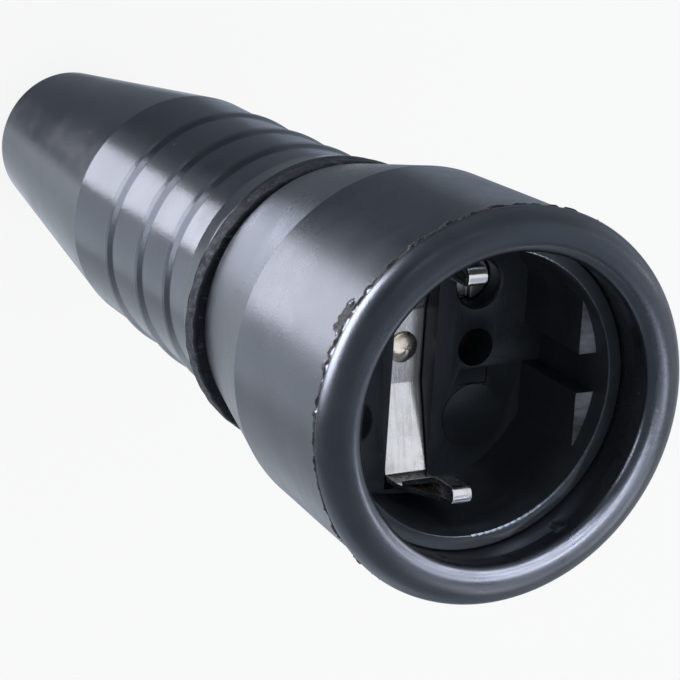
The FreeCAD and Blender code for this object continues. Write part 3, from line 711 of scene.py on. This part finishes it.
RUBBER_DARK = (0.007, 0.0085, 0.0115, 1)
RUBBER_PALE = (0.012, 0.014, 0.018, 1)
RUBBER_SCUFF = (0.07, 0.072, 0.078, 1)
RUBBER_SCRATCH = (0.14, 0.15, 0.17, 1)
RUBBER_DUST = (0.2, 0.2, 0.2, 1)
RUBBER_TINT = (0.76, 0.85, 1.0, 1)
PLASTIC_DUST = (0.16, 0.16, 0.16, 1)
PLASTIC_TINT = (0.8, 0.9, 1.0, 1)
RING_TINT = (0.8, 0.88, 1.0, 1)
METAL_PIT = (0.16, 0.13, 0.1, 1)


def rubber(name, smooth, rough, streak):
    """Moulded rubber: mottled gloss, fine grain, faint streaks round the axis, dust and scuffs."""
    look = Look(name)
    broad = look.noise(look.place, 70.0, 4.0, 0.55)
    patches = look.noise(look.place, 260.0, 3.0, 0.5, 0.4)
    streaks = look.noise(look.round_axis(2.2, 900.0), 1.0, 4.0, 0.6)
    fine = look.noise(look.place, 2600.0, 2.0, 0.6)
    scuffs = look.ramp(look.noise(look.round_axis(16.0, 120.0), 1.6, 5.0, 0.65, 0.3), 0.66, 0.8)
    shade = look.ramp(look.summed((broad, 0.6), (patches, 0.4)), 0.35, 0.65)
    colour = look.blend(shade, RUBBER_DARK, RUBBER_PALE)
    colour = look.over(colour, scuffs, 0.18, RUBBER_SCUFF)
    colour = look.over(colour, look.specks(420.0, 0.055, 0.1), 0.5, RUBBER_DUST)
    colour = look.over(colour, look.scratches(), 0.3, RUBBER_SCRATCH)
    mottle = look.summed((broad, 0.55), (patches, 0.33), (streaks, 0.12))
    gloss = look.ramp(mottle, 0.32, 0.68, smooth, rough)
    gloss = look.math("ADD", gloss, look.math("MULTIPLY", scuffs, 0.1), clamp=True)
    height = look.summed((streaks, streak), (fine, 0.3), (patches, 0.045))
    return look.finish(colour=colour, roughness=gloss, normal=look.bump(height, 0.00005), ior=1.45,
                       tint=RUBBER_TINT)


def worn_ring(name):
    """Matt rubber of the ring in the groove: scraped, with pale dusty marks."""
    look = Look(name)
    scrapes = look.noise(look.round_axis(26.0, 500.0), 1.0, 6.0, 0.7, 0.6)
    lumps = look.noise(look.place, 700.0, 5.0, 0.65)
    pale = look.ramp(scrapes, 0.57, 0.7)
    colour = look.over((0.006, 0.0065, 0.008, 1), pale, 0.7, (0.11, 0.115, 0.125, 1))
    gloss = look.ramp(lumps, 0.3, 0.7, 0.42, 0.7)
    height = look.summed((scrapes, 1.4), (lumps, 1.0))
    return look.finish(colour=colour, roughness=gloss, normal=look.bump(height, 0.00018), ior=1.36,
                       tint=RING_TINT)


def torn_rubber_and_painted_shade(name):
    """Matt broken edge of the rubber, with a few pale frayed spots. Its near-black colour is also painted
    shade where it lines the flash crease and the ring's lower edge.
    """
    look = Look(name)
    grain = look.noise(look.place, 2200.0, 4.0, 0.7)
    pale = look.ramp(grain, 0.62, 0.74)
    # the near-black base is painted shade along the flash crease and under the ring
    colour = look.over((0.004, 0.0045, 0.0055, 1), pale, 0.6, (0.08, 0.085, 0.1, 1))
    gloss = look.ramp(grain, 0.3, 0.7, 0.5, 0.75)
    return look.finish(colour=colour, roughness=gloss, normal=look.bump(grain, 0.00025), ior=1.3)


def moulded_plastic(name, dark, pale, smooth, rough):
    """Moulded plastic: cloudy colour, fine grain, flow lines and a little dust."""
    look = Look(name)
    broad = look.noise(look.place, 90.0, 4.0, 0.55)
    fine = look.noise(look.place, 1800.0, 3.0, 0.55)
    flow = look.noise(look.stretched(90.0, 90.0, 500.0), 1.0, 4.0, 0.55, 0.3)
    colour = look.blend(look.ramp(broad, 0.35, 0.65), dark, pale)
    colour = look.over(colour, look.specks(520.0, 0.05, 0.08, 3.1), 0.5, PLASTIC_DUST)
    gloss = look.ramp(look.summed((broad, 0.6), (flow, 0.4)), 0.35, 0.65, smooth, rough)
    height = look.summed((fine, 1.0), (flow, 0.8))
    return look.finish(colour=colour, roughness=gloss, normal=look.bump(height, 0.000025), ior=1.4,
                       tint=PLASTIC_TINT)


def edge_painted_highlight(name):
    """The plastic's rounded corners, pale and smooth in places: the pale colour is a painted highlight along
    the edges.
    """
    look = Look(name)
    grain = look.noise(look.place, 900.0, 4.0, 0.6)
    highlight_patches = look.ramp(look.noise(look.place, 120.0, 3.0, 0.6), 0.36, 0.62)
    share = look.math("MULTIPLY", highlight_patches, look.ramp(grain, 0.3, 0.6))
    # painted highlight: the edges are made pale where the patches fall
    colour = look.blend(share, (0.04, 0.045, 0.053, 1), (0.34, 0.37, 0.41, 1))
    gloss = look.ramp(grain, 0.3, 0.7, 0.22, 0.4)
    return look.finish(colour=colour, roughness=gloss, normal=look.bump(grain, 0.00002), ior=1.5)


def block_end_painted_light(name):
    """Ends of the guide blocks, facing out of the mouth, pale in streaky patches as painted light."""
    look = Look(name)
    broad = look.noise(look.place, 160.0, 4.0, 0.6)
    streaky_patches = look.noise(look.stretched(300.0, 1500.0, 300.0), 1.0, 4.0, 0.6)
    share = look.summed((broad, 0.65), (streaky_patches, 0.35))
    # painted light: the block ends are made pale where the streaky patches fall
    colour = look.blend(look.ramp(share, 0.34, 0.62), (0.04, 0.046, 0.054, 1), (0.19, 0.205, 0.235, 1))
    gloss = look.ramp(share, 0.35, 0.65, 0.32, 0.5)
    return look.finish(colour=colour, roughness=gloss, normal=look.bump(streaky_patches, 0.00002), ior=1.4)


def plated_metal(name, bright, dull, smooth, rough, stretch, scratch):
    """Plated or drawn metal: fine lines along the strip, cloudy dull patches and tiny pits."""
    look = Look(name)
    lines = look.noise(look.stretched(*stretch), 1.0, 4.0, 0.65)
    cloud = look.noise(look.place, 330.0, 4.0, 0.6, 0.3)
    pits = look.specks(1500.0, 0.12, 0.12, 1.7)
    colour = look.blend(look.ramp(cloud, 0.46, 0.72), bright, dull)
    colour = look.over(colour, pits, 0.5, METAL_PIT)
    gloss = look.ramp(look.summed((cloud, 0.35), (lines, 0.65)), 0.35, 0.65, smooth, rough)
    height = look.summed((lines, scratch), (pits, -0.5))
    return look.finish(colour=colour, roughness=gloss, normal=look.bump(height, 0.00002), metal=1.0)


looks = {
    "shell_rubber": rubber("shell_rubber", 0.16, 0.25, 0.025),
    "front_rubber": rubber("front_rubber", 0.25, 0.34, 0.02),
    "torn_rubber_and_painted_shade": torn_rubber_and_painted_shade("torn_rubber_and_painted_shade"),
    "ring_rubber": worn_ring("ring_rubber"),
    "insert_plastic": moulded_plastic("insert_plastic", (0.012, 0.0145, 0.018, 1), (0.019, 0.022, 0.026, 1),
                                      0.28, 0.42),
    "edge_painted_highlight": edge_painted_highlight("edge_painted_highlight"),
    "block_end_painted_light": block_end_painted_light("block_end_painted_light"),
    "carrier_plastic": moulded_plastic("carrier_plastic", (0.035, 0.035, 0.037, 1), (0.055, 0.055, 0.057, 1),
                                       0.38, 0.5),
    "nickel_plate": plated_metal("nickel_plate", (0.8, 0.765, 0.74, 1), (0.73, 0.69, 0.65, 1),
                                 0.16, 0.32, (1500.0, 60.0, 60.0), 0.9),
    "contact_brass": plated_metal("contact_brass", (0.42, 0.33, 0.2, 1), (0.22, 0.16, 0.1, 1),
                                  0.4, 0.6, (400.0, 400.0, 60.0), 0.6),
    "rivet_brass": plated_metal("rivet_brass", (0.97, 0.88, 0.75, 1), (0.72, 0.58, 0.44, 1),
                                0.26, 0.42, (500.0, 500.0, 500.0), 1.2),
    "zinc_steel": plated_metal("zinc_steel", (0.5, 0.5, 0.5, 1), (0.3, 0.3, 0.3, 1),
                               0.24, 0.42, (300.0, 300.0, 300.0), 0.6),
}


# Assembly

def mount(piece, slot, *nodes):
    """Puts a finished piece on the body in place of its CAD nodes."""
    if not piece.data.materials:
        piece.data.materials.append(looks[slot])
    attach(piece, BODY)
    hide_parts(*nodes)
    return piece


front = mount(front_shell(), "shell_rubber", "front_body")
rear = mount(rear_shell(), "shell_rubber", "rear_boot")
ring = mount(groove_ring(), "ring_rubber", "joint_ring")
insert = mount(recess_insert(), "insert_plastic", "socket_insert")
strip = mount(earth_strip(), "nickel_plate", "earth_clip")
rivet = mount(strip_rivet(), "contact_brass", "earth_rivet")
for place in ("upper", "lower"):
    screw = softened("recess_screw_" + place, "fixing_screw_" + place, SCREW_ROUNDING)
    mount(screw, "zinc_steel", "fixing_screw_" + place)

for entry in frame["record"]["subparts"]:
    for holder in frame["nodes"][entry["node"]].material_slots:
        holder.material = looks[entry["material_slot"]]


# Camera. Its place and directions were solved from the circles in the photograph, in the frame's metres.

EYE = Vector((-0.336785, 0.215495, 0.67204))
RIGHT = Vector((0.874423, 0.062064, 0.481178))
DOWN = Vector((-0.098163, -0.948639, 0.300747))
FORWARD = Vector((0.475129, -0.310214, -0.823419))
LENS = 273.2
SENSOR = 36.0

lens = bpy.data.cameras.new("camera")
lens.lens = LENS
lens.sensor_width = SENSOR
lens.clip_start = 0.01
camera = add_object("camera", lens)
camera.matrix_world = Matrix.Translation(EYE) @ Matrix((RIGHT, -DOWN, -FORWARD)).transposed().to_4x4()
bpy.context.scene.camera = camera


# Light. Lamps and cards stand in directions seen from the object, in metres and degrees.

CENTRE = Vector((0, 0, 0.09))
LIP_BOTTOM = Vector((0.009, -0.021, 0.133))
NEAR = 0.45
CARD_REACH = 0.9
CARD_STEPS = 8
FILL_COLOUR = (0.79, 0.84, 1.0)
SOFTBOX_COLOUR = (0.91, 0.905, 1.0)
MOUTH_COLOUR = (0.97, 0.94, 1.0)
WHITE = (1, 1, 1, 1)
COOL_WHITE = (0.84, 0.91, 1, 1)
MATT_LIGHT = 0.7
FLOOR_GLOW = 0.86

# the small gridded lamps at the mouth: half width and spread in degrees, reach and dimming
LIP_HALF = 10
LIP_SPREAD = 22.0
LIP_REACH = 0.12
LIP_DIMMING = 0.88


def direction(turn, rise):
    """A direction seen from the object: turn is to the right of the camera, rise above it."""
    turn, rise = math.radians(turn), math.radians(rise)
    return (RIGHT * math.sin(turn) * math.cos(rise) - DOWN * math.sin(rise)
            - FORWARD * math.cos(turn) * math.cos(rise))


def panel(name, turns, rises, radiance, colour=FILL_COLOUR, reach=0.8, about=CENTRE, spread=180.0):
    """A soft rectangular lamp that covers these turns and rises, seen from the point that it faces.
    Only reflections show it."""
    rise = sum(rises) / 2
    middle = direction(sum(turns) / 2, rise)
    wide = 2 * reach * math.tan(math.radians(turns[1] - turns[0]) / 2) * math.cos(math.radians(rise))
    tall = 2 * reach * math.tan(math.radians(rises[1] - rises[0]) / 2)
    lamp = bpy.data.lights.new(name, "AREA")
    lamp.shape = "RECTANGLE"
    lamp.size = wide
    lamp.size_y = tall
    lamp.spread = math.radians(spread)
    lamp.energy = radiance * math.pi * wide * tall
    if spread < 180:
        # Blender brightens a gridded lamp to keep its power, and this takes that back
        half = math.radians(spread) / 2
        lamp.energy *= (math.tan(half) - half) / math.tan(half)
    lamp.color = colour
    obj = add_object(name, lamp)
    side = (-DOWN).cross(middle).normalized()
    up = middle.cross(side).normalized()
    turn = Matrix((side, up, middle)).transposed()
    obj.matrix_world = Matrix.Translation(about + middle * reach) @ turn.to_4x4()
    obj.visible_camera = False
    obj.visible_diffuse = False
    return obj


def lip_lamps(name, places):
    """Small gridded lamps about the mouth's lower edge, each from its turn, rise and radiance."""
    lamps = []
    for number, (turn, rise, radiance) in enumerate(places):
        turns = (turn - LIP_HALF, turn + LIP_HALF)
        rises = (rise - LIP_HALF, rise + LIP_HALF)
        lamps.append(panel("%s_%d" % (name, number), turns, rises, LIP_DIMMING * radiance, MOUTH_COLOUR,
                           LIP_REACH, LIP_BOTTOM, LIP_SPREAD))
    return lamps


def only_on(lamps, pieces, name):
    """Aims lamps at chosen pieces alone."""
    group = bpy.data.collections.new(name)
    for piece in pieces:
        group.objects.link(piece)
    for lamp in lamps:
        lamp.light_linking.receiver_collection = group


def card_grey(name, glow):
    """A dim bluish grey that glows by itself, so that no lamp has to light the card."""
    look = Look(name)
    grain = look.noise(look.place, 4.0, 2.0)
    colour = look.blend(grain, (0.02, 0.02, 0.024, 1), (0.03, 0.03, 0.036, 1))
    return look.finish(colour=colour, roughness=0.9, glow_colour=(0.72, 0.82, 1.0, 1), glow=glow)


def grey_card(name, turns, rises, look):
    """A curved card that only reflections see, as a studio keeps dark areas beside a glossy object."""
    points = []
    for i in range(CARD_STEPS + 1):
        for j in range(CARD_STEPS + 1):
            turn = turns[0] + (turns[1] - turns[0]) * i / CARD_STEPS
            rise = rises[0] + (rises[1] - rises[0]) * j / CARD_STEPS
            points.append(CENTRE + direction(turn, rise) * CARD_REACH)
    faces = []
    for i in range(CARD_STEPS):
        for j in range(CARD_STEPS):
            k = i * (CARD_STEPS + 1) + j
            faces.append((k, k + 1, k + CARD_STEPS + 2, k + CARD_STEPS + 1))
    card = add_mesh(name, points, faces)
    card.data.materials.append(look)
    card.visible_camera = False
    card.visible_diffuse = False
    card.visible_transmission = False
    card.visible_shadow = False


def floor():
    """A pale floor that reflections don't see and that still takes the object's faint shadow."""
    half = 3.0
    corners = [(-half, -half, 0), (half, -half, 0), (half, half, 0), (-half, half, 0)]
    obj = add_mesh("floor", corners, [(0, 1, 2, 3)])
    look = Look("pale_floor")
    grain = look.ramp(look.noise(look.place, 3.0, 3.0), 0.3, 0.7)
    look.finish(colour=look.blend(grain, (0.9, 0.9, 0.9, 1), (0.93, 0.93, 0.93, 1)), roughness=0.7)
    glow = look.add("Emission", {"Color": WHITE, "Strength": 1.0}).outputs[0]
    share = look.math("MULTIPLY", look.seen_rays(), FLOOR_GLOW)
    mixed = look.add("MixShader", {0: share, 1: look.shader.outputs[0], 2: glow}).outputs[0]
    look.put(look.tree.nodes["Material Output"].inputs["Surface"], mixed)
    obj.data.materials.append(look.material)
    obj.visible_glossy = False
    obj.visible_shadow = False


def surroundings():
    """White to the camera, cool white to reflections, and a plain level of light on matt surfaces."""
    world = bpy.data.worlds.new("studio")
    bpy.context.scene.world = world
    world.use_nodes = True
    world.node_tree.nodes.clear()
    nodes = Nodes(world.node_tree)
    glossy = nodes.add("LightPath").outputs["Is Glossy Ray"]
    seen = nodes.blend(glossy, WHITE, COOL_WHITE)
    shown = nodes.add("Background", {"Color": seen, "Strength": 1.0}).outputs[0]
    lit = nodes.add("Background", {"Color": (0.96, 0.98, 1, 1), "Strength": MATT_LIGHT}).outputs[0]
    mixed = nodes.add("MixShader", {0: nodes.seen_rays(), 1: lit, 2: shown}).outputs[0]
    nodes.add("OutputWorld", {"Surface": mixed})


left_front = panel("softbox_left_front", (-132, -96), (13.5, 39), 8.0, SOFTBOX_COLOUR, NEAR)
left_rear = panel("softbox_left_rear", (-132, -96), (16.0, 35.5), 8.0, SOFTBOX_COLOUR, NEAR)
near_lamp = panel("softbox_left_near", (-80, -42), (-4, 48), 40.0, MOUTH_COLOUR, NEAR)
bead_lamp = panel("softbox_beads", (-96, -46), (-6, 48), 8.0, SOFTBOX_COLOUR, NEAR)
panel("softbox_left_low", (-138, -100), (-8, 13), 1.0, reach=NEAR)
behind = panel("softbox_behind", (-159, -144), (12, 27), 5.0, reach=0.6)
edge_lamps = [
    panel("edge_lamp_above", (10, 110), (34, 70), 45.0, reach=0.5),
    panel("edge_lamp_below", (86, 132), (-78, -46), 45.0, reach=0.5),
]
rubber_lamps = [
    panel("fill_right", (50, 112), (-40, 14), 0.8),
    panel("fill_right_high", (86, 130), (4, 34), 0.5),
    panel("fill_below_left", (-165, -85), (-84, -28), 1.1),
]
low_lip_lamps = lip_lamps("lip_lamp_low", (
    (32, -18, 88.0), (54, -18, 86.0), (76, -18, 62.0), (102, -32, 11.0), (94, -52, 12.0),
    (68, -48, 18.0), (32, 4, 84.0), (54, 4, 84.0), (76, 4, 60.0), (104, 16, 30.0)))
high_lip_lamps = lip_lamps("lip_lamp_high", (
    (16, 22, 64.0), (38, 26, 88.0), (60, 26, 84.0), (82, 24, 60.0)))

only_on([left_front], (front, ring, rivet, strip, insert), "front_end")
only_on([left_rear, bead_lamp], (rear,), "rear_end")
only_on([near_lamp], (front, rivet, strip, insert), "mouth_and_metal")
only_on([behind], (front,), "shoulder")
only_on(edge_lamps, (insert,), "recess")
only_on(rubber_lamps, (front, rear, ring), "rubber_pieces")
only_on(low_lip_lamps + high_lip_lamps, (front,), "mouth_rubber")

dim_card = card_grey("card_dim", 0.28)
mid_card = card_grey("card_mid", 0.55)
grey_card("card_behind_left", (-180, -133), (14, 50), dim_card)
grey_card("card_top_left", (-180, -80), (50, 88), dim_card)
grey_card("card_behind_right", (130, 180), (10, 88), mid_card)
grey_card("card_below_right", (146, 190), (-55, 10), mid_card)
grey_card("card_front", (-14, 14), (6, 32), dim_card)
grey_card("card_low_right", (54, 112), (-52, -20), mid_card)

floor()
surroundings()
bpy.context.scene.view_settings.view_transform = "Standard"
